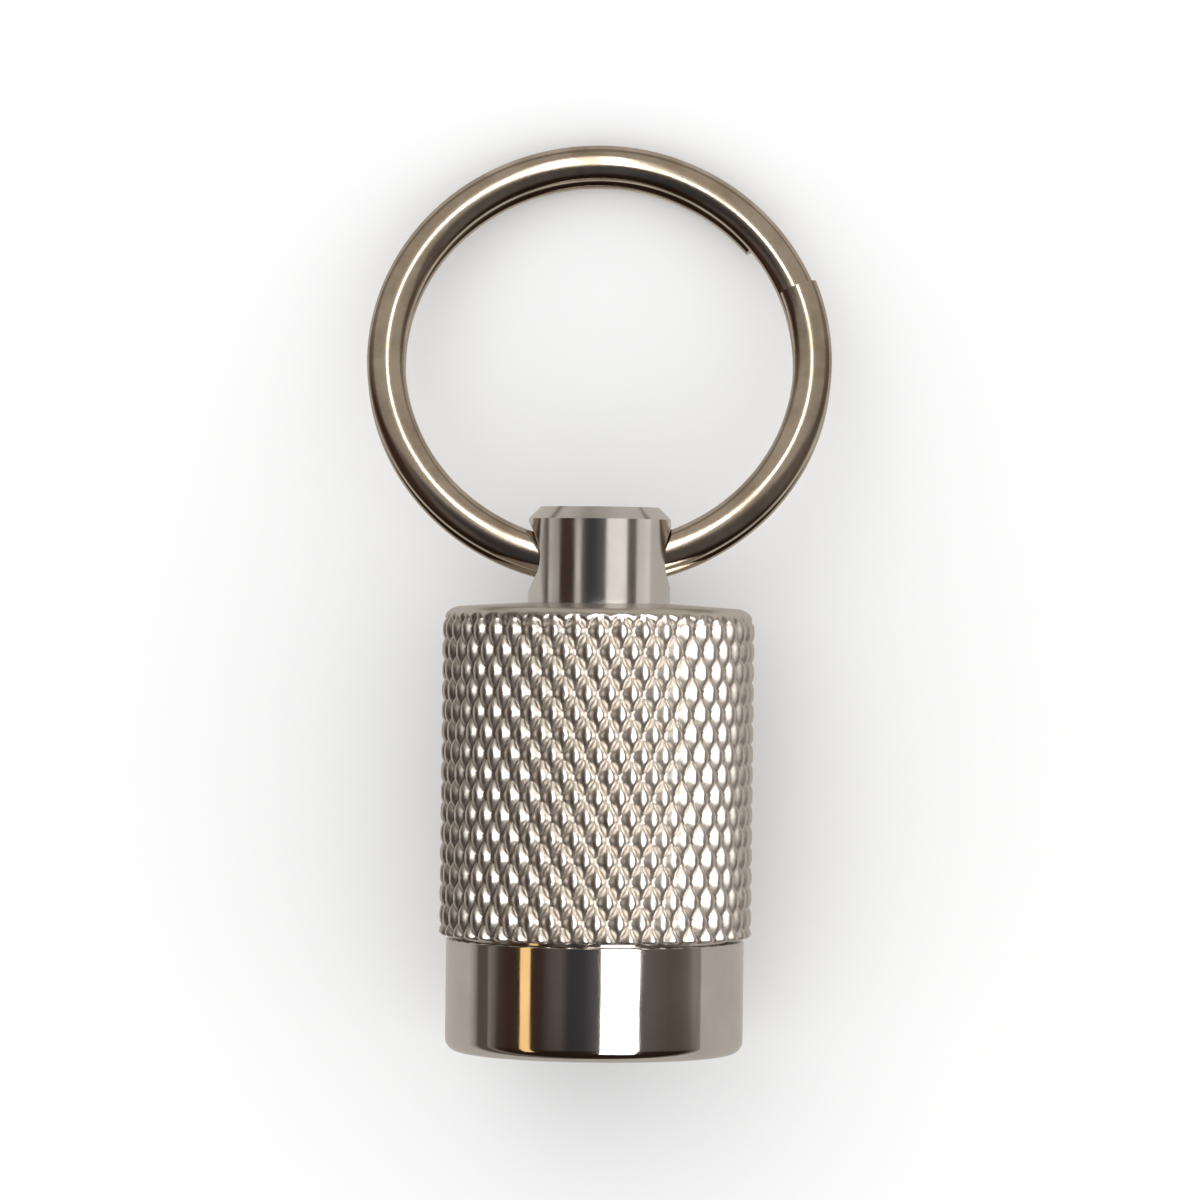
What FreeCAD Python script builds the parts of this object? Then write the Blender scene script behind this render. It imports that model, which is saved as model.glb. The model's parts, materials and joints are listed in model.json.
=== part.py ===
"""Keychain flashlight: a knurled aluminium barrel with a twist head, three button cells and a split key ring.

The light lies on a table with its lens facing -Y. Its turned parts are drawn upright first, along the barrel's
axis, with every station measured from the bezel face. The last step lays them down. The ring is drawn in its
own plane and leans from the post's hole to the table. All sizes are in millimetres.
"""

import FreeCAD, Part
import math
import os

Vector = FreeCAD.Vector
AXIS = Vector(0, 0, 1)
CENTRE = Vector(0, 0, 0)

# Fits
slip = 0.02             # between pieces that are assembled and stay put
running = 0.1           # radial, between pieces that turn or slide in each other

# Barrel
barrel_radius = 8.5     # over the crests of the knurl
barrel_start = 6.25     # station of the barrel's open end
barrel_length = 18.0
end_wall = 1.85
shoulder_drop = 0.3     # the end face falls this much from the post to its rim
shoulder_round = 1.1
mouth_radius = 7.2      # the threaded mouth that takes the neck
mouth_depth = 4.95
cell_bore_radius = 6.1

# Post with the cross-hole for the ring
post_radius = 3.85
post_height = 5.18
post_chamfer = 0.65
shank_radius = 2.0
shank_head_radius = 2.7
shank_head_height = 0.35
ring_hole_radius = 1.6
ring_hole_station = 2.48    # above the foot of the post
ring_hole_round = 0.35

# Split ring: one wire, wound twice
ring_outer_radius = 12.7
wire_width = 2.1            # the wire's section is an ellipse
wire_height = 1.03
coil_gap = 0.04
ring_sits_off = 0.40        # the wire lies this far off the hole's axis, because the ring curves through it
step_start = 22.0           # degrees round the ring, where the wire has stepped down to the lower coil
step_end = 40.0             # where it still lies in the upper coil
wire_end_gap = 0.7          # degrees left free beside each end of the wire
step_sections = 7

# Button cells
cell_count = 3
cell_radius = 5.8
cell_height = 4.2
stack_start = 6.6
can_wall = 0.25
can_rim_drop = 0.25
cap_radius = 4.73
cap_wall = 0.2
cap_depth = 1.5
seal_inset = 0.1            # the seal reaches this far below the cap
rim_overlap = 0.65          # how far the can's rim is rolled in over the seal
tube_wall = 0.15
tube_short = 0.2            # the insulating tube stops this far short of the stack's end

# Tail spring
spring_wire_radius = 0.25
spring_small_radius = 2.6
spring_large_radius = 4.4
spring_pitch = 0.9

# Head
head_radius = 8.05
head_length = 6.1
head_round = 0.7
head_bore_radius = 6.7
ledge_station = 5.5
ledge_radius = 5.25
neck_radius = mouth_radius - running
neck_end = 10.9
neck_chamfer = 0.35
groove_start = 6.35
groove_width = 0.95
groove_radius = 6.5

# Optics, from the front
lens_ring_start = 0.25
lens_ring_height = 0.7
lens_ring_radius = 5.6
notch_width = 1.0
notch_depth = 0.35
notch_reach = 0.6
gasket_height = 0.25
gasket_radius = 5.75
lens_height = 1.0
lens_radius = 6.5
lens_chamfer = 0.1
reflector_front_radius = 5.95
reflector_rear_radius = 2.25
reflector_flange = 0.5
reflector_wall = 0.6
curve_points = 9

# Light source and its board
board_radius = 6.65
board_height = 0.8
package_side = 3.0
package_height = 0.5
die_side = 1.1
die_height = 0.12
dome_radius = 1.25
resistor_length = 2.0
resistor_width = 1.25
resistor_height = 0.5
resistor_offset = 5.1
button_flange_radius = 2.2
button_flange_height = 0.3
button_radius = 1.5
button_round = 0.4
washer_inner_radius = 3.2
washer_outer_radius = 5.95
washer_height = 0.43

# Derived stations and radii
barrel_end = barrel_start + barrel_length
bore_end = barrel_end - end_wall
rim_station = barrel_end - shoulder_drop
hole_station = barrel_end + ring_hole_station
post_end = barrel_end + post_height
lens_ring_end = lens_ring_start + lens_ring_height
gasket_end = lens_ring_end + gasket_height
lens_end = gasket_end + lens_height
board_front = ledge_station - board_height
stack_end = stack_start + cell_count * cell_height
tube_inner_radius = cell_bore_radius - running - tube_wall

wire_radius = ring_outer_radius - wire_width / 2
ring_centre = wire_radius - ring_sits_off
coil_height = (wire_height + coil_gap) / 2
far_wire = ring_centre + wire_radius


def wire_reach(along, across):
    """How far the wire's elliptical section reaches in a direction given in the ring's own plane."""
    return math.hypot(along * wire_width / 2, across * wire_height / 2)


def resting_lean():
    """Angle of the ring's plane at which the far side of the lower coil just touches the table."""
    low, high = 0.0, math.pi / 4
    while high - low > 1e-9:
        middle = (low + high) / 2
        sine, cosine = math.sin(middle), math.cos(middle)
        drop = far_wire * sine + coil_height * cosine + wire_reach(sine, cosine)
        low, high = (middle, high) if drop < barrel_radius else (low, middle)
    return low


lean = resting_lean()
far_end = far_wire * math.cos(lean) + coil_height * math.sin(lean) + wire_reach(math.cos(lean), math.sin(lean))
middle_station = (hole_station + far_end) / 2


def outline(corners):
    """Face through corners given as (radius, station) or (radius, station, rounding)."""
    points = [Vector(corner[0], 0, corner[1]) for corner in corners]
    stretches = []
    for i, corner in enumerate(corners):
        here = points[i]
        if len(corner) == 2:
            stretches.append([here])
            continue
        back = (points[i - 1] - here).normalize()
        on = (points[(i + 1) % len(points)] - here).normalize()
        half = back.getAngle(on) / 2
        reach = corner[2] / math.tan(half)
        inset = corner[2] / math.sin(half) - corner[2]
        toward_arc = (back + on).normalize()
        stretches.append([here + back * reach, here + toward_arc * inset, here + on * reach])
    edges = []
    for i, stretch in enumerate(stretches):
        if len(stretch) == 3:
            edges.append(Part.Arc(*stretch).toShape())
        edges.append(Part.makeLine(stretch[-1], stretches[(i + 1) % len(stretches)][0]))
    return Part.Face(Part.Wire(edges))


def turned(corners):
    """Solid of revolution about the barrel's axis."""
    return outline(corners).revolve(CENTRE, AXIS, 360)


def block(width, depth, height, station, offset=0.0):
    """Box centred on the axis, or offset from it along X, whose lower face is at a station."""
    corner = Vector(offset - width / 2, -depth / 2, station)
    return Part.makeBox(width, depth, height, corner)


def knurled_barrel():
    return turned([
        (mouth_radius, barrel_start),
        (barrel_radius, barrel_start, 0.2),
        (barrel_radius, rim_station, shoulder_round),
        (post_radius, barrel_end),
        (shank_radius + slip / 2, barrel_end),
        (shank_radius + slip / 2, bore_end),
        (cell_bore_radius, bore_end),
        (cell_bore_radius, barrel_start + mouth_depth),
        (mouth_radius, barrel_start + mouth_depth),
    ])


def key_post():
    post = turned([
        (0, bore_end - shank_head_height),
        (shank_head_radius, bore_end - shank_head_height, shank_head_height / 2),
        (shank_head_radius, bore_end),
        (shank_radius, bore_end),
        (shank_radius, barrel_end),
        (post_radius, barrel_end),
        (post_radius, post_end - post_chamfer),
        (post_radius - post_chamfer, post_end),
        (0, post_end),
    ])
    hole_start = Vector(-post_radius - 1, 0, hole_station)
    hole = Part.makeCylinder(ring_hole_radius, 2 * post_radius + 2, hole_start, Vector(1, 0, 0))
    post = post.cut(hole)
    mouths = [edge for edge in post.Edges if is_hole_mouth(edge)]
    return post.makeFillet(ring_hole_round, mouths)


def is_hole_mouth(edge):
    """True for an edge where the cross-hole meets the post's side."""
    box = edge.BoundBox
    crosses = abs(box.YMax - box.YMin - 2 * ring_hole_radius) < 0.05
    return crosses and abs(box.ZMax + box.ZMin - 2 * hole_station) < 0.05


def wire_section(height, angle):
    """Face of the ring's wire, centred at a height over the ring's plane, at an angle round it."""
    middle = Vector(wire_radius, 0, height)
    across = middle + Vector(wire_width / 2, 0, 0)
    up = middle + Vector(0, 0, wire_height / 2)
    section = Part.Face(Part.Wire(Part.Ellipse(across, up, middle).toShape()))
    section.rotate(CENTRE, AXIS, angle)
    return section


def key_ring():
    """Two coils of one wire, joined by the step where it crosses from the upper coil to the lower one."""
    full = 360 - (step_end - step_start) - wire_end_gap
    upper = wire_section(coil_height, step_end).revolve(CENTRE, AXIS, full)
    lower = wire_section(-coil_height, step_end + wire_end_gap).revolve(CENTRE, AXIS, full)
    sections = []
    for i in range(step_sections):
        share = i / (step_sections - 1)
        eased = share * share * (3 - 2 * share)
        angle = step_start + (step_end - step_start) * share
        sections.append(wire_section(coil_height * (2 * eased - 1), angle).OuterWire)
    step = Part.makeLoft(sections, True)
    ring = upper.fuse([step, lower]).removeSplitter()
    ring.translate(Vector(0, ring_centre, 0))
    ring.rotate(CENTRE, Vector(1, 0, 0), -math.degrees(lean))
    ring.translate(Vector(0, hole_station - middle_station, barrel_radius))
    return ring


def cell_can(start):
    """Steel cup of a button cell: the positive face is at its start, and its rim is rolled in over the seal."""
    rim = start + cell_height - can_rim_drop
    inside = cell_radius - can_wall
    return turned([
        (0, start),
        (cell_radius, start, 0.3),
        (cell_radius, rim, can_wall),
        (cell_radius - rim_overlap, rim),
        (cell_radius - rim_overlap, rim - cap_wall),
        (inside, rim - cap_wall),
        (inside, start + can_wall),
        (0, start + can_wall),
    ])


def cell_cap(start):
    """Negative cap of a button cell, an inverted cup."""
    top = start + cell_height
    return turned([
        (0, top),
        (cap_radius, top, 0.25),
        (cap_radius, top - cap_depth),
        (cap_radius - cap_wall, top - cap_depth),
        (cap_radius - cap_wall, top - cap_wall),
        (0, top - cap_wall),
    ])


def cell_seal(start):
    """Nylon ring that keeps the cap apart from the can."""
    top = start + cell_height
    under_rim = top - can_rim_drop - cap_wall - slip
    return turned([
        (cap_radius + slip, top - cap_depth - seal_inset),
        (cell_radius - can_wall - slip, top - cap_depth - seal_inset),
        (cell_radius - can_wall - slip, under_rim),
        (cell_radius - rim_overlap - slip, under_rim),
        (cell_radius - rim_overlap - slip, top - cap_wall),
        (cap_radius + slip, top - cap_wall),
    ])


def cell_core(start):
    """The cathode, separator and anode of a button cell, as one filling."""
    top = start + cell_height
    step = top - cap_depth - seal_inset - slip
    return turned([
        (0, start + can_wall + slip),
        (cell_radius - can_wall - slip, start + can_wall + slip),
        (cell_radius - can_wall - slip, step),
        (cap_radius - cap_wall - slip, step),
        (cap_radius - cap_wall - slip, top - cap_wall - slip),
        (0, top - cap_wall - slip),
    ])


def cell_tube():
    """Thin insulating sleeve round the stack of cells."""
    return turned([
        (tube_inner_radius, stack_start),
        (tube_inner_radius + tube_wall, stack_start),
        (tube_inner_radius + tube_wall, stack_end - tube_short),
        (tube_inner_radius, stack_end - tube_short),
    ])


def tail_spring():
    """Conical spring, from its small coil on the last cell to its large coil on the barrel's end wall."""
    start = stack_end + spring_wire_radius + slip
    height = bore_end - spring_wire_radius - slip - start
    growth = spring_large_radius - spring_small_radius
    cone = math.degrees(math.atan(growth / height))
    path = Part.makeHelix(spring_pitch, math.hypot(growth, height), spring_small_radius, cone)
    section = Part.makeCircle(spring_wire_radius, Vector(spring_small_radius, 0, 0), Vector(0, 1, 0))
    spring = Part.Wire(path.Edges).makePipeShell([Part.Wire(section)], True, True)
    spring.translate(Vector(0, 0, start))
    return spring


def head_shell():
    """Smooth outer head and the neck behind it that screws into the barrel."""
    return turned([
        (head_bore_radius, 0),
        (head_radius, 0, head_round),
        (head_radius, head_length, 0.12),
        (neck_radius, head_length),
        (neck_radius, groove_start),
        (groove_radius, groove_start),
        (groove_radius, groove_start + groove_width),
        (neck_radius, groove_start + groove_width),
        (neck_radius, neck_end - neck_chamfer),
        (neck_radius - neck_chamfer, neck_end),
        (cell_bore_radius, neck_end),
        (cell_bore_radius, head_length),
        (ledge_radius, head_length),
        (ledge_radius, ledge_station),
        (head_bore_radius, ledge_station),
    ])


def neck_o_ring():
    """Rubber seal in the neck's groove."""
    radius = (mouth_radius - groove_radius) / 2 - slip
    middle = (mouth_radius + groove_radius) / 2
    return Part.makeTorus(middle, radius, Vector(0, 0, groove_start + groove_width / 2), AXIS)


def lens_ring():
    """Retaining ring in the bezel, with two notches for a pin spanner."""
    outer = head_bore_radius - slip
    ring = turned([
        (lens_ring_radius, lens_ring_start, 0.1),
        (outer, lens_ring_start, 0.1),
        (outer, lens_ring_end),
        (lens_ring_radius, lens_ring_end),
    ])
    notch_end = lens_ring_start + notch_depth
    span = 2 * (lens_ring_radius + notch_reach)
    return ring.cut(block(span, notch_width, 2 * notch_depth, notch_end - 2 * notch_depth))


def lens_gasket():
    return turned([
        (gasket_radius, lens_ring_end),
        (head_bore_radius - 2 * slip, lens_ring_end),
        (head_bore_radius - 2 * slip, gasket_end),
        (gasket_radius, gasket_end),
    ])


def lens():
    return turned([
        (0, gasket_end),
        (lens_radius - lens_chamfer, gasket_end),
        (lens_radius, gasket_end + lens_chamfer),
        (lens_radius, lens_end - lens_chamfer),
        (lens_radius - lens_chamfer, lens_end),
        (0, lens_end),
    ])


def dish_edge(front, offset):
    """Parabola of the reflector, from the board up to a station near the lens, moved outwards by an offset."""
    rise_of_dish = (reflector_front_radius ** 2 - reflector_rear_radius ** 2) / (board_front - lens_end)
    points = []
    for i in range(curve_points):
        station = board_front + (front - board_front) * i / (curve_points - 1)
        radius = math.sqrt(reflector_rear_radius ** 2 + rise_of_dish * (board_front - station))
        points.append(Vector(radius + offset, 0, station))
    curve = Part.BSplineCurve()
    curve.interpolate(points)
    return curve.toShape(), points[0], points[-1]


def reflector():
    """Parabolic dish with a flange under the lens."""
    inside, inside_foot, inside_lip = dish_edge(lens_end, 0)
    outside, outside_foot, outside_lip = dish_edge(lens_end + reflector_flange, reflector_wall)
    flange_low = Vector(lens_radius, 0, lens_end + reflector_flange)
    flange_high = Vector(lens_radius, 0, lens_end)
    edges = [
        inside,
        Part.makeLine(inside_lip, flange_high),
        Part.makeLine(flange_high, flange_low),
        Part.makeLine(flange_low, outside_lip),
        outside,
        Part.makeLine(outside_foot, inside_foot),
    ]
    return Part.Face(Part.Wire(Part.__sortEdges__(edges))).revolve(CENTRE, AXIS, 360)


def led_board():
    return turned([
        (0, board_front),
        (board_radius, board_front),
        (board_radius, ledge_station),
        (0, ledge_station),
    ])


def led_package():
    return block(package_side, package_side, package_height, board_front - package_height)


def led_die():
    return block(die_side, die_side, die_height, board_front - package_height - die_height)


def led_dome():
    """Clear half-sphere cast over the die."""
    foot = Vector(0, 0, board_front - package_height)
    dome = Part.makeSphere(dome_radius, foot, Vector(0, 0, -1), 0, 90, 360)
    pocket = block(die_side + slip, die_side + slip, die_height + slip, foot.z - die_height - slip)
    return dome.cut(pocket)


def resistor():
    return block(
        resistor_width, resistor_length, resistor_height, board_front - resistor_height, resistor_offset
    )


def contact_button():
    """Brass contact on the back of the board, which touches the first cell."""
    flange_end = ledge_station + button_flange_height
    return turned([
        (0, ledge_station),
        (button_flange_radius, ledge_station),
        (button_flange_radius, flange_end),
        (button_radius, flange_end),
        (button_radius, stack_start - slip, button_round),
        (0, stack_start - slip),
    ])


def insulating_washer():
    """Keeps the first cell's can apart from the ledge of the head."""
    return turned([
        (washer_inner_radius, head_length + slip),
        (washer_outer_radius, head_length + slip),
        (washer_outer_radius, head_length + slip + washer_height),
        (washer_inner_radius, head_length + slip + washer_height),
    ])


def laid_down(shape):
    """Turns an upright piece so that its front faces -Y, with the barrel resting on the table."""
    shape.rotate(CENTRE, Vector(1, 0, 0), -90)
    shape.translate(Vector(0, -middle_station, barrel_radius))
    return shape


def main():
    os.makedirs("parts", exist_ok=True)
    turned_pieces = [
        knurled_barrel, key_post, tail_spring, cell_tube, head_shell, neck_o_ring, lens_ring, lens_gasket, lens,
        reflector, led_board, led_package, led_die, led_dome, resistor, contact_button, insulating_washer,
    ]
    nodes = {make.__name__: laid_down(make()) for make in turned_pieces}
    for number in range(1, cell_count + 1):
        start = stack_start + (number - 1) * cell_height
        for make in (cell_can, cell_cap, cell_seal, cell_core):
            nodes[make.__name__.replace("cell", f"cell_{number}")] = laid_down(make(start))
    nodes["key_ring"] = key_ring()
    for name, shape in nodes.items():
        shape.exportStep(f"parts/{name}.step")
        print(name, "valid" if shape.isValid() else "INVALID", len(shape.Solids), round(shape.Volume, 2))
    print("lean", round(math.degrees(lean), 3), "hinge y", round(hole_station - middle_station, 4))
    print("bezel y", round(-middle_station, 4), "length", round(2 * middle_station, 4))


main()
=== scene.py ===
import json
import math

import bmesh
import bpy
import numpy as np
from mathutils import Matrix, Vector


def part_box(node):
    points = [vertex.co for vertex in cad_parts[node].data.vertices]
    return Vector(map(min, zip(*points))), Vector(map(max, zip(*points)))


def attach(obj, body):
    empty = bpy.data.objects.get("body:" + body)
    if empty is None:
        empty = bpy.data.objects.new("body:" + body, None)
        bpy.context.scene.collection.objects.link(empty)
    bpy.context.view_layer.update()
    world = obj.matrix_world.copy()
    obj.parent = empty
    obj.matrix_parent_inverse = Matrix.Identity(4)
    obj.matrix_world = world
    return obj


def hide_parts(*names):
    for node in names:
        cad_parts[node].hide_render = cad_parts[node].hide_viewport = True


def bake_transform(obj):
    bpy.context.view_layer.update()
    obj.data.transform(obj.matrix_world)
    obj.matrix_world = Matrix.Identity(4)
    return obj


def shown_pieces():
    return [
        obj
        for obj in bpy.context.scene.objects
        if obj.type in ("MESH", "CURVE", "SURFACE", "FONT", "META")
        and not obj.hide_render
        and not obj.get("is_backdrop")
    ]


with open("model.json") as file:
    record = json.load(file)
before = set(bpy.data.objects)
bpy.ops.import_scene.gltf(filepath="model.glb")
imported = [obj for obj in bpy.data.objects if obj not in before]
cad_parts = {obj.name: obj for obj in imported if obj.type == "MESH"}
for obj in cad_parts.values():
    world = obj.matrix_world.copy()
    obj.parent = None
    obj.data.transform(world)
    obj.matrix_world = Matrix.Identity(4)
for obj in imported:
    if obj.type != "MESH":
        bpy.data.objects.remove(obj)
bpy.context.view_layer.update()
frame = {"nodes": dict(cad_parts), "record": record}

# Lengths below are written in millimetres times MM, and are metres
MM = 0.001
TAU = 2 * math.pi

# Places read from the CAD frame
barrel_low, barrel_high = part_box("knurled_barrel")
head_low, head_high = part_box("head_shell")
post_low, post_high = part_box("key_post")
mounts = {mount["name"]: mount for mount in frame["record"]["mounts"]}
AXIS_HEIGHT = (barrel_low.z + barrel_high.z) / 2
BARREL_RADIUS = (barrel_high.z - barrel_low.z) / 2
HEAD_RADIUS = (head_high.z - head_low.z) / 2
POST_RADIUS = (post_high.z - post_low.z) / 2
BEZEL_Y = head_low.y
MOUTH_Y = barrel_low.y
SHOULDER_Y = barrel_high.y
NECK_END_Y = head_high.y

# Knurl
KNURL_STARTS = 42
KNURL_ANGLE = math.radians(30)
KNURL_DEPTH = 0.42 * MM
KNURL_STEPS = 11            # mesh steps along each side of a diamond
KNURL_PEAK = 0.61           # where a diamond is highest, as a share of its width
KNURL_DENT = 0.14           # hollow in the top, as a share of the depth
KNURL_DENT_WIDTH = 0.22     # share of a diamond's half width
KNURL_STOP = 0.55 * MM      # the knurl has run out this far from the foot of the post
KNURL_FADE = 0.45 * MM
KNURL_WEAR = 0.04           # how much lower the most worn diamond is, as a share of the depth
KNURL_DENT_SPREAD = 0.3     # a diamond's dent is up to this share deeper or shallower than KNURL_DENT
KNURL_EDGE = 0.9            # how far in the knurl starts on the rounded edges, as a share of the depth
CHANCE_AROUND = 12.9898     # these three make an even spread of numbers out of whole numbers
CHANCE_ALONG = 78.233
CHANCE_SCALE = 43758.5453
CUT_CREST = 0.8             # wear of the turned surfaces, on the scale from 0 in a groove to 1 on a tip
SHOULDER_DROP = 0.3 * MM
SHOULDER_ROUND = 1.1 * MM

# Barrel inside
MOUTH_RADIUS = 7.2 * MM
MOUTH_DEPTH = 4.95 * MM
BORE_RADIUS = 6.1 * MM
END_WALL = 1.85 * MM
SHANK_RADIUS = 2.01 * MM
MOUTH_INNER_ROUND = 0.15 * MM
MOUTH_OUTER_ROUND = 0.2 * MM

# Head
HEAD_LENGTH = 6.1 * MM
HEAD_ROUND = 0.7 * MM
HEAD_BORE_RADIUS = 6.7 * MM
LEDGE_DEPTH = 5.5 * MM
LEDGE_RADIUS = 5.25 * MM
NECK_RADIUS = 7.1 * MM
GROOVE_START = 6.35 * MM
GROOVE_WIDTH = 0.95 * MM
GROOVE_RADIUS = 6.5 * MM
THREAD_PITCH = 0.5 * MM
THREAD_DEPTH = 0.27 * MM
THREAD_CLEARANCE = 0.1 * MM     # plain length left at each end of the thread
BEZEL_ROUND = 0.12 * MM
LEDGE_ROUND = 0.08 * MM
GROOVE_ROUND = 0.04 * MM
THREAD_SLOPE = 1.25         # above 1 the thread has a flat crest
THREAD_FLAT = 0.08          # height of the flat root, as a share of the depth
THREAD_STEPS = 8            # mesh steps along one turn's pitch
TURN_STEPS = 256

# Split ring
WIRE_WIDTH = 2.1 * MM
WIRE_HEIGHT = 1.03 * MM
WIRE_SIDES = 32
COIL_GAP = 0.04 * MM
RING_RADIUS = 11.65 * MM
UPPER_END = math.radians(21.3)      # where the wire starts, in the upper coil
LOWER_END = math.radians(40.7)      # where it ends, two turns on, in the lower coil
FALL_START = math.radians(90)       # the wire leaves one coil here and has reached the next at FALL_END
FALL_END = math.radians(-30)
RING_STEPS = 720                    # mesh steps along the whole wire
RING_OFFSET = 0.14 * MM             # the ring has slid this far to the left in its hole

# Tail spring
SPRING_WIRE_RADIUS = 0.25 * MM
SPRING_SMALL_RADIUS = 2.6 * MM
SPRING_LARGE_RADIUS = 4.4 * MM
SPRING_PITCH = 0.9 * MM
SPRING_TURN_STEPS = 48
SPRING_SIDES = 12

# Floor
FLOOR_SIZE = 3.0
FLOOR_COLOUR = (0.90, 0.90, 0.90)
FLOOR_GLOW = (0.50, 0.465, 0.425)
FLOOR_GLOW_DARK = (0.10, 0.085, 0.07)
FLOOR_GLOW_EDGE = (-0.075, -0.035)      # x where the glow starts and where it is full

# Room that metal reflects: its colours across, in front, behind and low down, and the edges between them
ROOM_ACROSS = (                         # share of the way from -X to +X, and the colour there
    (0.0, (0.14, 0.115, 0.095)),
    (0.012, (0.062, 0.042, 0.032)),
    (0.03, (0.048, 0.027, 0.020)),
    (0.17, (0.046, 0.028, 0.022)),
    (0.225, (0.10, 0.080, 0.072)),
    (0.275, (0.115, 0.095, 0.085)),
    (0.335, (0.042, 0.040, 0.043)),
    (0.43, (0.046, 0.046, 0.052)),
    (0.5, (0.08, 0.078, 0.08)),
    (0.84, (0.13, 0.11, 0.10)),
    (0.93, (0.105, 0.085, 0.072)),
    (0.97, (0.12, 0.095, 0.078)),
    (0.988, (0.16, 0.135, 0.115)),
    (1.0, (0.30, 0.27, 0.24)),
)
ROOM_FRONT = (0.022, 0.012, 0.008)
ROOM_BEHIND = (0.23, 0.20, 0.165)
ROOM_LOW = (0.24, 0.215, 0.185)
ROOM_FRONT_EDGE = (-0.08, -0.4)         # Y of a direction where the front's colour starts and is full
ROOM_BEHIND_EDGE = (0.3, 0.6)           # the same behind
ROOM_LOW_EDGE = (0.16, 0.0)             # Z where the low colour starts and is full
PALE_ROOM = (1.10, 1.10, 1.10)          # what matt surfaces and the camera see

# Lamps
LAMP_DISTANCE = 0.7
# Angle, width and power of the strips that light the post
POST_STRIPS = ((-80, 0.30, 0.27), (-35, 0.12, 0.17), (28, 0.43, 0.95), (76, 0.35, 0.5))

# Camera
CAMERA_DISTANCE = 300 * MM
CAMERA_X = 0.05 * MM
CAMERA_PAST_BEZEL = 24.415 * MM
CAMERA_ROLL = math.radians(0.7)
VIEW_WIDTH = 64.9 * MM
SENSOR_WIDTH = 36.0                     # millimetres


# ---------------------------------------------------------------- mesh helpers

def make_piece(name, points, faces, material, body, stands_for=(), sharp=math.radians(38)):
    """A smooth-shaded mesh piece that rides a body and stands for CAD nodes."""
    mesh = bpy.data.meshes.new(name)
    mesh.from_pydata([tuple(p) for p in points], [], faces)
    mesh.validate()
    editable = bmesh.new()
    editable.from_mesh(mesh)
    bmesh.ops.recalc_face_normals(editable, faces=editable.faces)
    editable.to_mesh(mesh)
    editable.free()
    mesh.polygons.foreach_set("use_smooth", [True] * len(mesh.polygons))
    mesh.set_sharp_from_angle(angle=sharp)
    mesh.materials.append(material)
    piece = bpy.data.objects.new(name, mesh)
    bpy.context.scene.collection.objects.link(piece)
    if body:
        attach(piece, body)
    if stands_for:
        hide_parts(*stands_for)
    return piece


def outline(corners, arc_steps=8):
    """Closed loop of (radius, y) points through corners given as (radius, y) or (radius, y, rounding)."""
    points = [Vector(corner[:2]) for corner in corners]
    loop = []
    for i, corner in enumerate(corners):
        here = points[i]
        if len(corner) == 2:
            loop.append(tuple(here))
            continue
        back = (points[i - 1] - here).normalized()
        on = (points[(i + 1) % len(points)] - here).normalized()
        half = back.angle(on) / 2
        centre = here + (back + on).normalized() * corner[2] / math.sin(half)
        start = here + back * corner[2] / math.tan(half) - centre
        sweep = (math.pi - 2 * half) * math.copysign(1, back.x * on.y - back.y * on.x)
        for step in range(arc_steps + 1):
            loop.append(tuple(centre + start @ Matrix.Rotation(sweep * step / arc_steps, 2)))
    return loop


def skin(rings, shifts, columns, closed=True):
    """Points and faces of a surface through rings about the barrel's axis.

    A ring is (radii, y), with one radius or one for each column. A shift is 0 or 0.5 of a column; two rings
    with different shifts are joined by triangles.
    """
    points = []
    for (radii, y), shift in zip(rings, shifts):
        angles = TAU * (np.arange(columns) + shift) / columns
        radii = np.broadcast_to(radii, columns)
        x = radii * np.sin(angles)
        z = AXIS_HEIGHT + radii * np.cos(angles)
        points.append(np.stack([x, np.full(columns, y), z], axis=1))
    faces = []
    here = np.arange(columns)
    beside = (here + 1) % columns
    count = len(rings)
    for k in range(count if closed else count - 1):
        low, high = k * columns, ((k + 1) % count) * columns
        if shifts[k] == shifts[(k + 1) % count]:
            sets = [(low + here, low + beside, high + beside, high + here)]
        elif shifts[k] < shifts[(k + 1) % count]:
            sets = [(low + here, low + beside, high + here), (high + here, low + beside, high + beside)]
        else:
            sets = [(low + here, high + beside, high + here), (low + here, low + beside, high + beside)]
        for corner_sets in sets:
            faces += np.stack(corner_sets, axis=1).tolist()
    return np.concatenate(points), faces


# ---------------------------------------------------------------- materials

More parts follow.
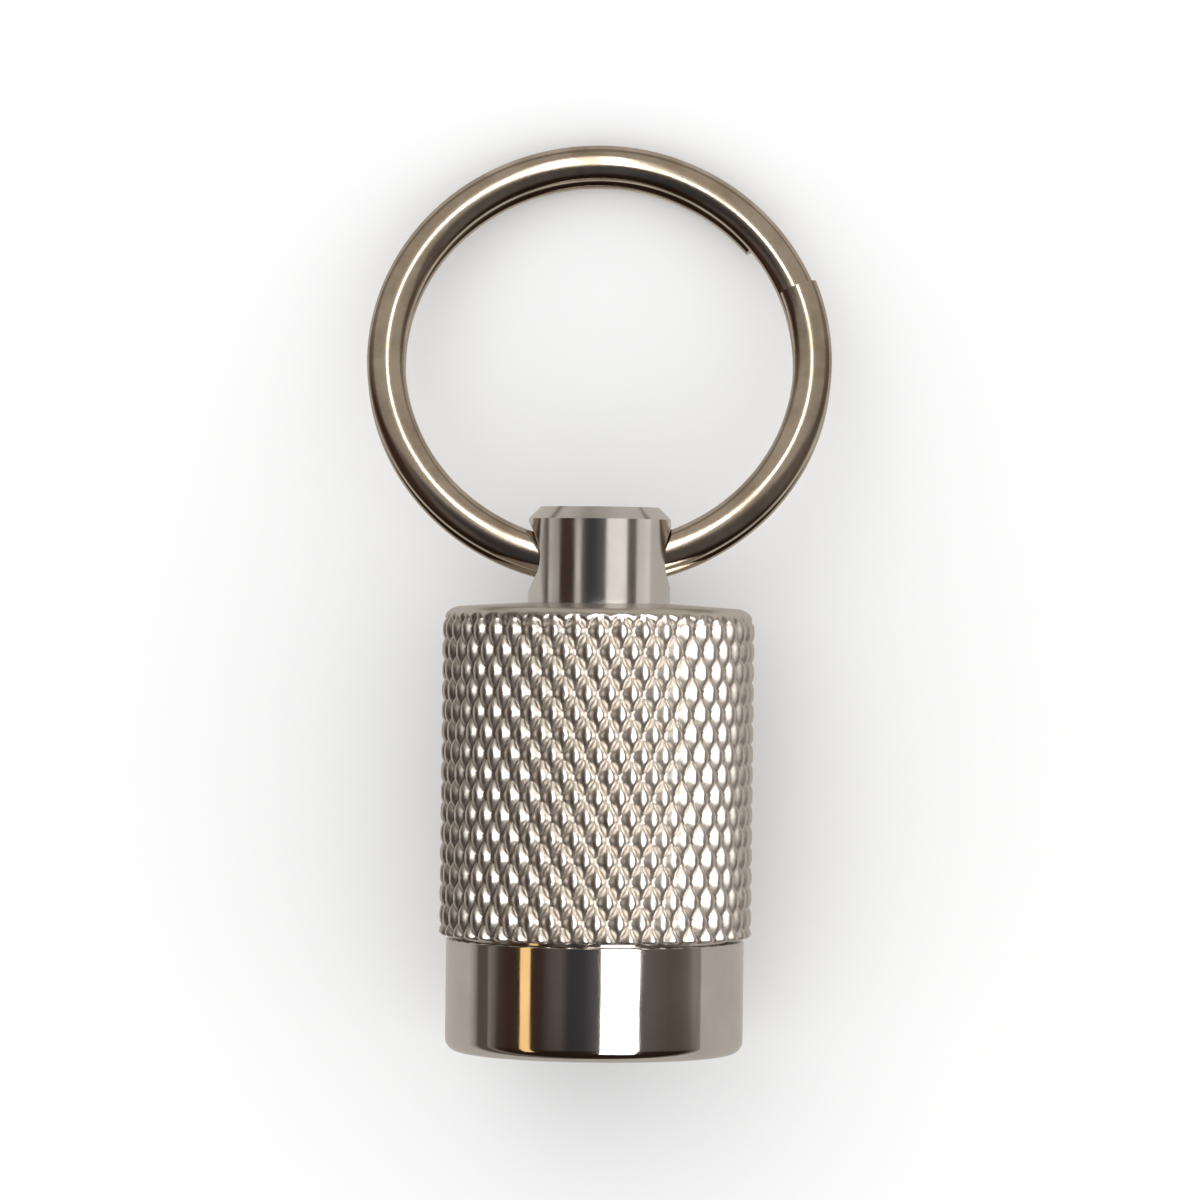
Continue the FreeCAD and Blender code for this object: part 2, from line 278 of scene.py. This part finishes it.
class Finish:
    """A procedural material: a Principled shader and short calls for the textures that feed it."""

    def __init__(self, name, colour, metallic, roughness):
        self.material = bpy.data.materials.new(name)
        self.material.use_nodes = True
        self.tree = self.material.node_tree
        self.shader = self.tree.nodes["Principled BSDF"]
        self.shader.inputs["Base Color"].default_value = (*colour, 1)
        self.shader.inputs["Metallic"].default_value = metallic
        self.shader.inputs["Roughness"].default_value = roughness
        self.place = self.tree.nodes.new("ShaderNodeTexCoord").outputs["Object"]

    def node(self, kind, settings=(), inputs=()):
        made = self.tree.nodes.new(kind)
        for key, value in dict(settings).items():
            setattr(made, key, value)
        for key, value in dict(inputs).items():
            if isinstance(value, bpy.types.NodeSocket):
                self.tree.links.new(value, made.inputs[key])
            else:
                made.inputs[key].default_value = value
        return made

    def noise(self, scale, detail=3, stretch=(1, 1, 1)):
        """Noise with about scale features to a metre, finer along an axis whose stretch is larger."""
        mapped = self.node("ShaderNodeMapping", inputs={"Vector": self.place, "Scale": stretch})
        made = self.node("ShaderNodeTexNoise", inputs={
            "Vector": mapped.outputs[0], "Scale": scale, "Detail": detail, "Roughness": 0.55,
        })
        return made.outputs["Fac"]

    def turning_lines(self, scale):
        """Noise that varies along Y only, as a lathe tool's fine rings."""
        parts = self.node("ShaderNodeSeparateXYZ", inputs={"Vector": self.place})
        made = self.node("ShaderNodeTexNoise", {"noise_dimensions": "1D"}, {
            "W": parts.outputs["Y"], "Scale": scale, "Detail": 4, "Roughness": 0.7,
        })
        return made.outputs["Fac"]

    def ramp(self, value, low, high, low_out, high_out):
        """Maps value from low..high to low_out..high_out, clamped."""
        made = self.node("ShaderNodeMapRange", inputs={
            "Value": value, "From Min": low, "From Max": high, "To Min": low_out, "To Max": high_out,
        })
        return made.outputs[0]

    def blend(self, factor, first, second):
        """Colour between first and second."""
        made = self.node("ShaderNodeMix", {"data_type": "RGBA"}, {"Factor": factor})
        for socket, colour in zip((made.inputs[6], made.inputs[7]), (first, second)):
            if isinstance(colour, bpy.types.NodeSocket):
                self.tree.links.new(colour, socket)
            else:
                socket.default_value = (*colour, 1)
        return made.outputs[2]

    def math(self, operation, first, second):
        made = self.node("ShaderNodeMath", {"operation": operation})
        for socket, value in zip(made.inputs, (first, second)):
            if isinstance(value, bpy.types.NodeSocket):
                self.tree.links.new(value, socket)
            else:
                socket.default_value = value
        return made.outputs[0]

    def attribute(self, name):
        return self.node("ShaderNodeAttribute", {"attribute_name": name}).outputs["Fac"]

    def colour(self, socket):
        self.tree.links.new(socket, self.shader.inputs["Base Color"])

    def roughness(self, socket):
        self.tree.links.new(socket, self.shader.inputs["Roughness"])

    def bump(self, height, distance, under=None):
        made = self.node("ShaderNodeBump", inputs={"Height": height, "Distance": distance})
        if under:
            self.tree.links.new(under, made.inputs["Normal"])
        self.tree.links.new(made.outputs[0], self.shader.inputs["Normal"])
        return made.outputs[0]


def polished_metal(name, colour, dark, roughness, lines=0.0):
    """Turned and polished metal: faint tool rings, handling smudges and fine scratches."""
    finish = Finish(name, colour, 1.0, roughness)
    smudge = finish.noise(260, 4)
    finish.colour(finish.blend(finish.ramp(smudge, 0.35, 0.75, 0, 1), colour, dark))
    finish.roughness(finish.ramp(smudge, 0.3, 0.8, roughness * 0.75, roughness * 1.6))
    scratches = finish.noise(2600, 2, (1, 0.12, 1))
    normal = finish.bump(scratches, 0.0000012)
    if lines:
        finish.bump(finish.turning_lines(9000), lines, under=normal)
    return finish.material


def knurl_metal():
    """Knurled aluminium: painted shade darkens the colour in the grooves, and the tips are rubbed bright.
    """
    light, dark = (0.80, 0.755, 0.70), (0.38, 0.34, 0.30)
    finish = Finish("knurled_aluminium", light, 1.0, 0.3)
    crest = finish.attribute("crest")
    grain = finish.noise(5200, 4)
    in_grooves = finish.ramp(crest, 0.0, 0.34, 1, 0)
    # painted shade: the colour darkens towards the groove bottoms, broken up by the grain noise
    groove_shade = finish.math("MULTIPLY", in_grooves, finish.ramp(grain, 0.3, 0.7, 0.55, 1))
    finish.colour(finish.blend(groove_shade, light, dark))
    worn = finish.ramp(crest, 0.25, 0.9, 0.41, 0.30)
    finish.roughness(finish.math("ADD", worn, finish.ramp(grain, 0.3, 0.7, -0.03, 0.05)))
    finish.bump(grain, 0.000006)
    return finish.material


def nickel():
    """Nickel-plated wire: a warm cast, drawn lines and rubbed spots."""
    light, dark = (0.74, 0.66, 0.56), (0.52, 0.44, 0.35)
    finish = Finish("ring_nickel", light, 1.0, 0.12)
    tarnish = finish.noise(420, 4)
    finish.colour(finish.blend(finish.ramp(tarnish, 0.4, 0.72, 0, 1), light, dark))
    finish.roughness(finish.ramp(tarnish, 0.3, 0.75, 0.09, 0.2))
    finish.bump(finish.noise(3000, 3), 0.000002)
    return finish.material


def plastic(name, colour, second, roughness, scale=900, grain=0.000003, metallic=0.0):
    """Moulded or coated piece: slight mottling and a fine surface grain."""
    finish = Finish(name, colour, metallic, roughness)
    mottle = finish.noise(scale, 3)
    finish.colour(finish.blend(finish.ramp(mottle, 0.35, 0.7, 0, 1), colour, second))
    finish.roughness(finish.ramp(mottle, 0.3, 0.7, roughness * 0.85, roughness * 1.15))
    finish.bump(finish.noise(scale * 6, 2), grain)
    return finish.material


def clear(name, tint, roughness, ior):
    """Clear lens or silicone, with faint dust."""
    finish = Finish(name, tint, 0.0, roughness)
    finish.shader.inputs["Transmission Weight"].default_value = 1.0
    finish.shader.inputs["IOR"].default_value = ior
    dust = finish.noise(1800, 5)
    finish.roughness(finish.ramp(dust, 0.55, 0.8, roughness, roughness + 0.12))
    return finish.material


# ---------------------------------------------------------------- barrel

def from_peak(place):
    """-1 at the groove before a diamond, 0 at its peak and 1 at the groove after it."""
    past = place % 1 - KNURL_PEAK
    return np.where(past < 0, past / KNURL_PEAK, past / (1 - KNURL_PEAK))


def knurl_height(around, along):
    """Height from 0 to 1 of the diamond knurl; around counts starts and along counts pitches.

    Each diamond is worn down and dented a little differently, by a number made from its place.
    """
    rising, falling = around + along, around - along
    first, second = from_peak(rising), from_peak(falling)
    pillow = (1 - first ** 2) * (1 - second ** 2)
    step_around = (np.floor(rising) + np.floor(falling)) % (2 * KNURL_STARTS)
    step_along = np.floor(rising) - np.floor(falling)
    chance = np.sin(step_around * CHANCE_AROUND + step_along * CHANCE_ALONG) * CHANCE_SCALE % 1
    away = (first ** 2 + second ** 2) / (2 * KNURL_DENT_WIDTH ** 2)
    worn = pillow * (1 - KNURL_WEAR * (1 - chance))
    dent = KNURL_DENT * (1 - KNURL_DENT_SPREAD + 2 * KNURL_DENT_SPREAD * chance)
    return worn - dent * np.exp(-away)


def build_barrel():
    """Barrel with the knurl in its outer face, which fades out on the shoulder."""
    columns = KNURL_STARTS * KNURL_STEPS
    pitch = TAU * BARREL_RADIUS / KNURL_STARTS / math.tan(KNURL_ANGLE)
    row = pitch / (2 * KNURL_STEPS)
    rim = SHOULDER_Y - SHOULDER_DROP
    loop = outline([
        (MOUTH_RADIUS, MOUTH_Y, MOUTH_INNER_ROUND),
        (BARREL_RADIUS, MOUTH_Y, MOUTH_OUTER_ROUND),
        (BARREL_RADIUS, rim, SHOULDER_ROUND),
        (POST_RADIUS, SHOULDER_Y),
        (SHANK_RADIUS, SHOULDER_Y),
        (SHANK_RADIUS, SHOULDER_Y - END_WALL),
        (BORE_RADIUS, SHOULDER_Y - END_WALL),
        (BORE_RADIUS, MOUTH_Y + MOUTH_DEPTH),
        (MOUTH_RADIUS, MOUTH_Y + MOUTH_DEPTH),
    ], arc_steps=10)
    outer = [p for p in loop if p[0] >= BARREL_RADIUS - KNURL_DEPTH * KNURL_EDGE]
    outer_radii = np.array([p[0] for p in outer])
    outer_ys = np.array([p[1] for p in outer])
    low_y, high_y = outer_ys[0], outer_ys[-1]
    rows = 2 * int((high_y - low_y) / row / 2)
    rings, shifts, crests = [], [], []
    numbers = np.arange(columns)
    for k in range(rows + 1):
        y = low_y + (high_y - low_y) * k / rows
        shift = 0.5 * (k % 2)
        height = knurl_height((numbers + shift) / KNURL_STEPS, k / (2 * KNURL_STEPS))
        limit = np.interp(y, outer_ys, outer_radii)
        depth = KNURL_DEPTH * min(max((SHOULDER_Y - KNURL_STOP - y) / KNURL_FADE, 0), 1)
        radii = limit - depth * (1 - height)
        rings.append((radii, y))
        shifts.append(shift)
        crests.append(1 - depth * (1 - height) / KNURL_DEPTH)
    start = loop.index(outer[-1]) + 1
    rest = loop[start:] + loop[:loop.index(outer[0])]
    for radius, y in rest:
        rings.append((radius, y))
        shifts.append(0)
        crests.append(np.full(columns, CUT_CREST))
    points, faces = skin(rings, shifts, columns)
    piece = make_piece(
        "knurled_barrel_skin", points, faces, knurl_metal(), "barrel", ["knurled_barrel"],
        sharp=math.radians(60),
    )
    crest = piece.data.attributes.new("crest", "FLOAT", "POINT")
    crest.data.foreach_set("value", np.concatenate(crests).astype(np.float32))
    return piece


# ---------------------------------------------------------------- head

def build_head():
    """Outer head, ledge and neck in one piece, with the neck's thread as a helical surface."""
    thread_start = GROOVE_START + GROOVE_WIDTH + THREAD_CLEARANCE
    thread_end = NECK_END_Y - BEZEL_Y - THREAD_CLEARANCE
    loop = outline([
        (LEDGE_RADIUS, BEZEL_Y + HEAD_LENGTH, LEDGE_ROUND),
        (LEDGE_RADIUS, BEZEL_Y + LEDGE_DEPTH, LEDGE_ROUND),
        (HEAD_BORE_RADIUS, BEZEL_Y + LEDGE_DEPTH),
        (HEAD_BORE_RADIUS, BEZEL_Y, BEZEL_ROUND),
        (HEAD_RADIUS, BEZEL_Y, HEAD_ROUND),
        (HEAD_RADIUS, BEZEL_Y + HEAD_LENGTH, BEZEL_ROUND),
        (NECK_RADIUS, BEZEL_Y + HEAD_LENGTH),
        (NECK_RADIUS, BEZEL_Y + GROOVE_START, GROOVE_ROUND),
        (GROOVE_RADIUS, BEZEL_Y + GROOVE_START),
        (GROOVE_RADIUS, BEZEL_Y + GROOVE_START + GROOVE_WIDTH),
        (NECK_RADIUS, BEZEL_Y + GROOVE_START + GROOVE_WIDTH, GROOVE_ROUND),
        (NECK_RADIUS, BEZEL_Y + thread_start),
        (NECK_RADIUS - THREAD_DEPTH, NECK_END_Y),
        (BORE_RADIUS, NECK_END_Y, LEDGE_ROUND),
        (BORE_RADIUS, BEZEL_Y + HEAD_LENGTH),
    ], arc_steps=12)
    thread_foot = next(
        i for i, p in enumerate(loop) if math.isclose(p[1], BEZEL_Y + thread_start, rel_tol=1e-6)
    )
    split = thread_foot + 1
    angles = TAU * np.arange(TURN_STEPS) / TURN_STEPS
    rows = int((thread_end - thread_start) / THREAD_PITCH * THREAD_STEPS)
    lowest = NECK_RADIUS - THREAD_DEPTH
    threads = []
    for k in range(1, rows):
        depth = thread_start + (thread_end - thread_start) * k / rows
        turn = (depth / THREAD_PITCH - angles / TAU) % 1
        tooth = np.clip(THREAD_SLOPE * (1 - np.abs(2 * turn - 1)), THREAD_FLAT, 1)
        fade = min(1.0, k / THREAD_STEPS, (rows - k) / THREAD_STEPS)
        full = lowest + THREAD_DEPTH * tooth
        # The grooves deepen from the plain neck, and the crests sink to the root at the far end
        base = NECK_RADIUS if k < rows / 2 else lowest
        threads.append((base + (full - base) * fade, BEZEL_Y + depth))
    rings = loop[:split] + threads + loop[split:]
    points, faces = skin(rings, [0] * len(rings), TURN_STEPS)
    metal = polished_metal("polished_aluminium", (0.80, 0.77, 0.74), (0.70, 0.66, 0.62), 0.07, 0.0000004)
    return make_piece(
        "head_shell_skin", points, faces, metal, "head", ["head_shell"],
        sharp=math.radians(50),
    )


# ---------------------------------------------------------------- split ring

def wire_outline():
    """Cross-section of the ring's wire as (across, height) points of an ellipse."""
    angles = [TAU * step / WIRE_SIDES for step in range(WIRE_SIDES)]
    return [(WIRE_WIDTH / 2 * math.cos(angle), WIRE_HEIGHT / 2 * math.sin(angle)) for angle in angles]


def sweep(paths):
    """Points and faces of a wire through cross-sections with as many points each, with flat ends."""
    around = len(paths[0])
    faces = []
    for i in range(len(paths) - 1):
        low, high = i * around, (i + 1) * around
        for j in range(around):
            beside = (j + 1) % around
            faces.append((low + j, low + beside, high + beside, high + j))
    last = (len(paths) - 1) * around
    faces.append(tuple(range(around)))
    faces.append(tuple(range(last, last + around)))
    return [point for path in paths for point in path], faces


def fallen(angle):
    """Share of one coil's height that the wire has come down, winding from FALL_START to FALL_END."""
    share = min(max((FALL_START - angle) / (FALL_START - FALL_END), 0), 1)
    return share * share * (3 - 2 * share)


def build_ring():
    """One wire, wound clockwise seen from above, that comes down from the upper coil to the lower one."""
    normal = Vector(mounts["ring_loop"]["axis"]).normalized()
    sideways = Vector((1, 0, 0))
    centre = Vector(mounts["ring_loop"]["pos_m"]) - sideways * RING_OFFSET
    away = normal.cross(sideways)
    coil_height = (WIRE_HEIGHT + COIL_GAP) / 2
    last = LOWER_END - 2 * TAU
    section = wire_outline()
    paths = []
    for i in range(RING_STEPS + 1):
        angle = UPPER_END + (last - UPPER_END) * i / RING_STEPS
        # The wire meets the fall three times: at its start, after one turn and at its end
        falls = sum(fallen(angle + turn * TAU) for turn in range(3))
        height = coil_height * (3 - 2 * falls)
        outwards = sideways * math.cos(angle) + away * math.sin(angle)
        middle = centre + normal * height
        paths.append([middle + outwards * (RING_RADIUS + across) + normal * up for across, up in section])
    points, faces = sweep(paths)
    return make_piece("split_ring_wire", points, faces, nickel(), "ring", ["key_ring"])


# ---------------------------------------------------------------- tail spring

def build_spring():
    """Conical spring that stretches between the barrel's end wall and the last cell."""
    low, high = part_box("tail_spring")
    start = low.y + SPRING_WIRE_RADIUS
    length = high.y - low.y - 2 * SPRING_WIRE_RADIUS
    turns = length / SPRING_PITCH
    steps = round(turns * SPRING_TURN_STEPS)
    paths = []
    for i in range(steps + 1):
        share = i / steps
        angle = TAU * turns * share
        radius = SPRING_SMALL_RADIUS + (SPRING_LARGE_RADIUS - SPRING_SMALL_RADIUS) * share
        outwards = Vector((math.sin(angle), 0, math.cos(angle)))
        middle = Vector((0, start + length * share, AXIS_HEIGHT)) + outwards * radius
        path = []
        for j in range(SPRING_SIDES):
            turn = TAU * j / SPRING_SIDES
            around = outwards * math.cos(turn) + Vector((0, math.sin(turn), 0))
            path.append(middle + around * SPRING_WIRE_RADIUS)
        paths.append(path)
    points, faces = sweep(paths)
    metal = polished_metal("spring_steel", (0.6, 0.59, 0.58), (0.45, 0.44, 0.42), 0.25)
    spring = make_piece("tail_spring_wire", points, faces, metal, None, ["tail_spring"])
    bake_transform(spring)


# ---------------------------------------------------------------- finishes of the CAD nodes that stay

def paint(node, material):
    """Gives a CAD node one material."""
    mesh = frame["nodes"][node].data
    mesh.materials.clear()
    mesh.materials.append(material)


def paint_cad_nodes():
    """Materials for the post, the optics, the board and the cells, whose shapes are the CAD's own."""
    post_metal = polished_metal("post_aluminium", (0.84, 0.82, 0.80), (0.74, 0.71, 0.68), 0.14, 0.0000015)
    anodised = plastic("black_anodised", (0.035, 0.035, 0.04), (0.06, 0.06, 0.065), 0.35, metallic=0.6)
    rubber = plastic("seal_rubber", (0.02, 0.02, 0.02), (0.035, 0.033, 0.03), 0.55)
    paint("key_post", post_metal)
    paint("lens_ring", anodised)
    paint("lens_gasket", rubber)
    paint("neck_o_ring", rubber)
    paint("lens", clear("lens_glass", (0.96, 0.99, 0.98), 0.01, 1.5))
    paint("reflector", polished_metal("reflector_mirror", (0.9, 0.9, 0.9), (0.85, 0.85, 0.84), 0.04))
    paint("led_board", plastic("board_laminate", (0.85, 0.85, 0.82), (0.78, 0.78, 0.74), 0.4))
    paint("led_package", plastic("led_ceramic", (0.9, 0.9, 0.87), (0.82, 0.82, 0.78), 0.5))
    paint("led_die", plastic("led_phosphor", (0.85, 0.68, 0.12), (0.8, 0.6, 0.1), 0.6))
    paint("led_dome", clear("led_silicone", (0.98, 0.98, 0.96), 0.02, 1.42))
    paint("resistor", plastic("resistor_body", (0.03, 0.03, 0.03), (0.08, 0.08, 0.08), 0.4))
    paint("contact_button", polished_metal("contact_brass", (0.78, 0.58, 0.25), (0.6, 0.42, 0.16), 0.2))
    paint("insulating_washer", plastic("washer_fibre", (0.4, 0.09, 0.06), (0.3, 0.06, 0.04), 0.6))
    paint("cell_tube", plastic("tube_film", (0.12, 0.28, 0.4), (0.1, 0.24, 0.36), 0.2))
    cell_materials = {
        "_can": polished_metal("can_steel", (0.76, 0.76, 0.75), (0.66, 0.66, 0.64), 0.16),
        "_cap": polished_metal("cap_steel", (0.70, 0.70, 0.69), (0.6, 0.6, 0.58), 0.24),
        "_seal": plastic("seal_nylon", (0.5, 0.45, 0.36), (0.42, 0.38, 0.3), 0.5),
        "_core": plastic("cell_filling", (0.08, 0.08, 0.08), (0.14, 0.14, 0.13), 0.8),
    }
    for node in frame["nodes"]:
        for ending, material in cell_materials.items():
            if node.startswith("cell_") and node.endswith(ending):
                paint(node, material)


# ---------------------------------------------------------------- stage, light, camera

def build_floor():
    """Pale matt table. Metal reflects it as a plain warm glow that is darker on the far left."""
    size = FLOOR_SIZE
    corners = [(-size, -size, 0), (size, -size, 0), (size, size, 0), (-size, size, 0)]
    mesh = bpy.data.meshes.new("floor")
    mesh.from_pydata(corners, [], [(0, 1, 2, 3)])
    floor = bpy.data.objects.new("floor", mesh)
    bpy.context.scene.collection.objects.link(floor)
    floor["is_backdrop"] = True
    finish = Finish("pale_floor", FLOOR_COLOUR, 0.0, 0.9)
    finish.shader.inputs["Specular IOR Level"].default_value = 0.0
    seen_in_metal = finish.node("ShaderNodeLightPath").outputs["Is Glossy Ray"]
    finish.colour(finish.blend(seen_in_metal, FLOOR_COLOUR, (0.0, 0.0, 0.0)))
    across = finish.node("ShaderNodeSeparateXYZ", inputs={"Vector": finish.place}).outputs["X"]
    lit = finish.ramp(across, *FLOOR_GLOW_EDGE, 0, 1)
    glow = finish.blend(lit, FLOOR_GLOW_DARK, FLOOR_GLOW)
    finish.tree.links.new(glow, finish.shader.inputs["Emission Color"])
    finish.tree.links.new(seen_in_metal, finish.shader.inputs["Emission Strength"])
    mesh.materials.append(finish.material)


def area_light(
        name, angle, width, length, power, colour, tilt=0.0, distance=LAMP_DISTANCE, glossy=True):
    """A light over the barrel: angle from straight up towards +X, tilt towards +Y, in degrees."""
    light = bpy.data.lights.new(name, "AREA")
    light.shape = "RECTANGLE"
    light.size = width
    light.size_y = length
    light.energy = power
    light.color = colour
    lamp = bpy.data.objects.new(name, light)
    bpy.context.scene.collection.objects.link(lamp)
    a, t = math.radians(angle), math.radians(tilt)
    direction = Vector((math.sin(a) * math.cos(t), math.sin(t), math.cos(a) * math.cos(t)))
    lamp.location = Vector((0, 0, AXIS_HEIGHT)) + direction * distance
    across = Vector((math.cos(a), 0, -math.sin(a)))
    axes = Matrix((across, direction.cross(across), direction)).transposed()
    lamp.rotation_euler = axes.to_euler()
    lamp.visible_glossy = glossy
    return lamp


def shine_only_on(lamp, *pieces):
    """The lamp lights these pieces and nothing else."""
    group = bpy.data.collections.new(lamp.name + "_pieces")
    for piece in pieces:
        group.objects.link(piece)
    lamp.light_linking.receiver_collection = group


def build_world():
    """Brown at the left, slate overhead, warm grey at the right, black before the lens, tan behind.

    Only metal and glass reflect that room. Matt surfaces and the background show an even pale one, so that
    the floor has soft shadows only.
    """
    world = bpy.data.worlds.new("room")
    bpy.context.scene.world = world
    world.use_nodes = True
    tree = world.node_tree
    background = tree.nodes["Background"]
    place = tree.nodes.new("ShaderNodeTexCoord")
    parts = tree.nodes.new("ShaderNodeSeparateXYZ")
    tree.links.new(place.outputs["Generated"], parts.inputs[0])

    def share(axis, start, end):
        """0 at start and 1 at end of a direction's X, Y or Z."""
        made = tree.nodes.new("ShaderNodeMapRange")
        made.inputs["From Min"].default_value = start
        made.inputs["From Max"].default_value = end
        tree.links.new(parts.outputs[axis], made.inputs["Value"])
        return made.outputs[0]

    def blend(factor, first, colour):
        made = tree.nodes.new("ShaderNodeMix")
        made.data_type = "RGBA"
        made.inputs[7].default_value = (*colour, 1)
        tree.links.new(factor, made.inputs[0])
        tree.links.new(first, made.inputs[6])
        return made.outputs[2]

    ramp = tree.nodes.new("ShaderNodeValToRGB")
    tree.links.new(share("X", -1, 1), ramp.inputs[0])
    stops = ramp.color_ramp.elements
    for stop, (position, colour) in zip(stops, (ROOM_ACROSS[0], ROOM_ACROSS[-1])):
        stop.position = position
        stop.color = (*colour, 1)
    for position, colour in ROOM_ACROSS[1:-1]:
        stops.new(position).color = (*colour, 1)
    room = blend(share("Y", *ROOM_FRONT_EDGE), ramp.outputs["Color"], ROOM_FRONT)
    room = blend(share("Y", *ROOM_BEHIND_EDGE), room, ROOM_BEHIND)
    room = blend(share("Z", *ROOM_LOW_EDGE), room, ROOM_LOW)
    path = tree.nodes.new("ShaderNodeLightPath")
    pale = tree.nodes.new("ShaderNodeMath")
    pale.operation = "MAXIMUM"
    tree.links.new(path.outputs["Is Diffuse Ray"], pale.inputs[0])
    tree.links.new(path.outputs["Is Camera Ray"], pale.inputs[1])
    tree.links.new(blend(pale.outputs[0], room, PALE_ROOM), background.inputs["Color"])


def build_lamps(barrel, head, ring, post):
    """Lamps as the bands in the metal show them. Most light one piece only."""
    softbox = area_light("softbox", angle=20, width=0.36, length=1.2, power=7.0, colour=(1.0, 0.98, 0.96))
    shine_only_on(softbox, *[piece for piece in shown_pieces() if piece not in (barrel, ring, post)])
    knurl_box = area_light(
        "knurl_box", angle=16, tilt=9, width=0.60, length=0.85, power=7.2, colour=(1.0, 0.98, 0.95),
    )
    shine_only_on(knurl_box, barrel)
    warm_strip = area_light(
        "warm_strip", angle=-54.6, width=0.105, length=0.9, power=0.34, colour=(1.0, 0.66, 0.28),
    )
    shine_only_on(warm_strip, head)
    ring_strip = area_light(
        "ring_strip", angle=0, tilt=41, width=0.055, length=0.32, power=0.22, colour=(1.0, 0.96, 0.89),
    )
    shine_only_on(ring_strip, ring)
    ring_fill = area_light(
        "ring_fill", angle=0, tilt=52, distance=0.8, width=1.6, length=0.7, power=0.6,
        colour=(1.0, 0.93, 0.85),
    )
    shine_only_on(ring_fill, ring)
    for number, (angle, width, power) in enumerate(POST_STRIPS):
        strip = area_light(
            f"post_strip_{number}", angle, width, length=0.9, power=power, colour=(1.0, 0.96, 0.91),
        )
        shine_only_on(strip, post)
    area_light(
        "floor_light", angle=-25, tilt=25, distance=0.9, width=0.6, length=0.6, power=0.8,
        colour=(1, 1, 1), glossy=False,
    )


def build_camera():
    """Straight down on the light, with the ring at the top of the picture."""
    camera = bpy.data.cameras.new("camera")
    camera.sensor_width = SENSOR_WIDTH
    camera.lens = SENSOR_WIDTH * CAMERA_DISTANCE / VIEW_WIDTH
    camera.clip_start = 0.01
    viewer = bpy.data.objects.new("camera", camera)
    bpy.context.scene.collection.objects.link(viewer)
    viewer.location = (CAMERA_X, BEZEL_Y + CAMERA_PAST_BEZEL, AXIS_HEIGHT + CAMERA_DISTANCE)
    viewer.rotation_euler = (0, 0, CAMERA_ROLL)
    bpy.context.scene.camera = viewer


barrel_piece = build_barrel()
head_piece = build_head()
ring_piece = build_ring()
build_spring()
paint_cad_nodes()
build_floor()
build_world()
build_lamps(barrel_piece, head_piece, ring_piece, frame["nodes"]["key_post"])
build_camera()
bpy.context.scene.view_settings.view_transform = "Standard"
